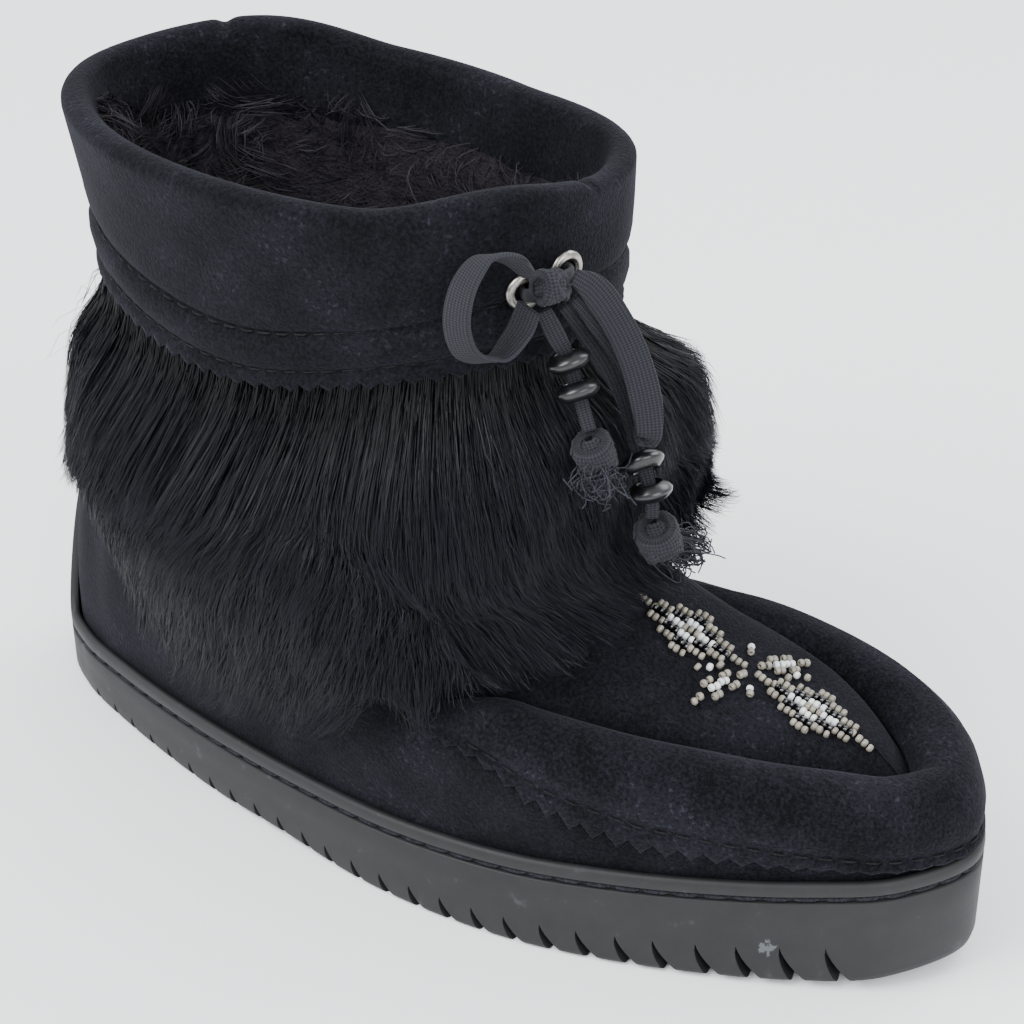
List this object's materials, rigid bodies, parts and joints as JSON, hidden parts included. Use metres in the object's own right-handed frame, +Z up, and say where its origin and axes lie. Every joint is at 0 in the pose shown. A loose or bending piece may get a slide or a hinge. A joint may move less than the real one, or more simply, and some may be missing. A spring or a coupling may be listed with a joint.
{
  "type": "mukluk boot",
  "caption": "Ankle-high moccasin-toe winter boot with a moulded rubber cup sole, fur cuff, folded suede collar and beaded toe plug.",
  "frame": {"origin": "on the floor under the middle of the heel's tread", "axes": "+X from heel to toe, +Y to the inner side of the foot, +Z up"},
  "size_m": [0.2732, 0.1296, 0.1847],
  "materials": {
    "outsole_rubber": "satin moulded rubber",
    "insole_felt": "fleece",
    "upper_suede": "brushed suede",
    "band_suede": "brushed suede, padded and pinked",
    "cuff_suede": "brushed suede, folded over the rim",
    "fur": "long guard hair",
    "seed_beads": "glossy opaque seed beads",
    "eyelet_metal": "burnished gunmetal",
    "lace_cotton": "flat woven cotton",
    "bead_glass": "glossy black glass"
  },
  "bodies": {
    "root": {"outsole": "outsole_rubber", "insole": "insole_felt", "upper": "upper_suede", "apron_band": "band_suede", "collar_cuff": "cuff_suede", "fur_cuff": "fur", "bead_petal_toe": "seed_beads", "bead_petal_ankle": "seed_beads", "bead_petal_outer": "seed_beads", "bead_petal_inner": "seed_beads", "eyelet_inner": "eyelet_metal", "eyelet_outer": "eyelet_metal", "lace_bar": "lace_cotton", "lace_loop_outer": "lace_cotton", "lace_loop_inner": "lace_cotton", "lace_end_outer": "lace_cotton", "lace_end_inner": "lace_cotton", "lace_knot": "lace_cotton", "lace_end_knot_outer": "lace_cotton", "lace_end_knot_inner": "lace_cotton", "glass_bead_outer_upper": "bead_glass", "glass_bead_outer_lower": "bead_glass", "glass_bead_inner_upper": "bead_glass", "glass_bead_inner_lower": "bead_glass"}
  },
  "joints": []
}
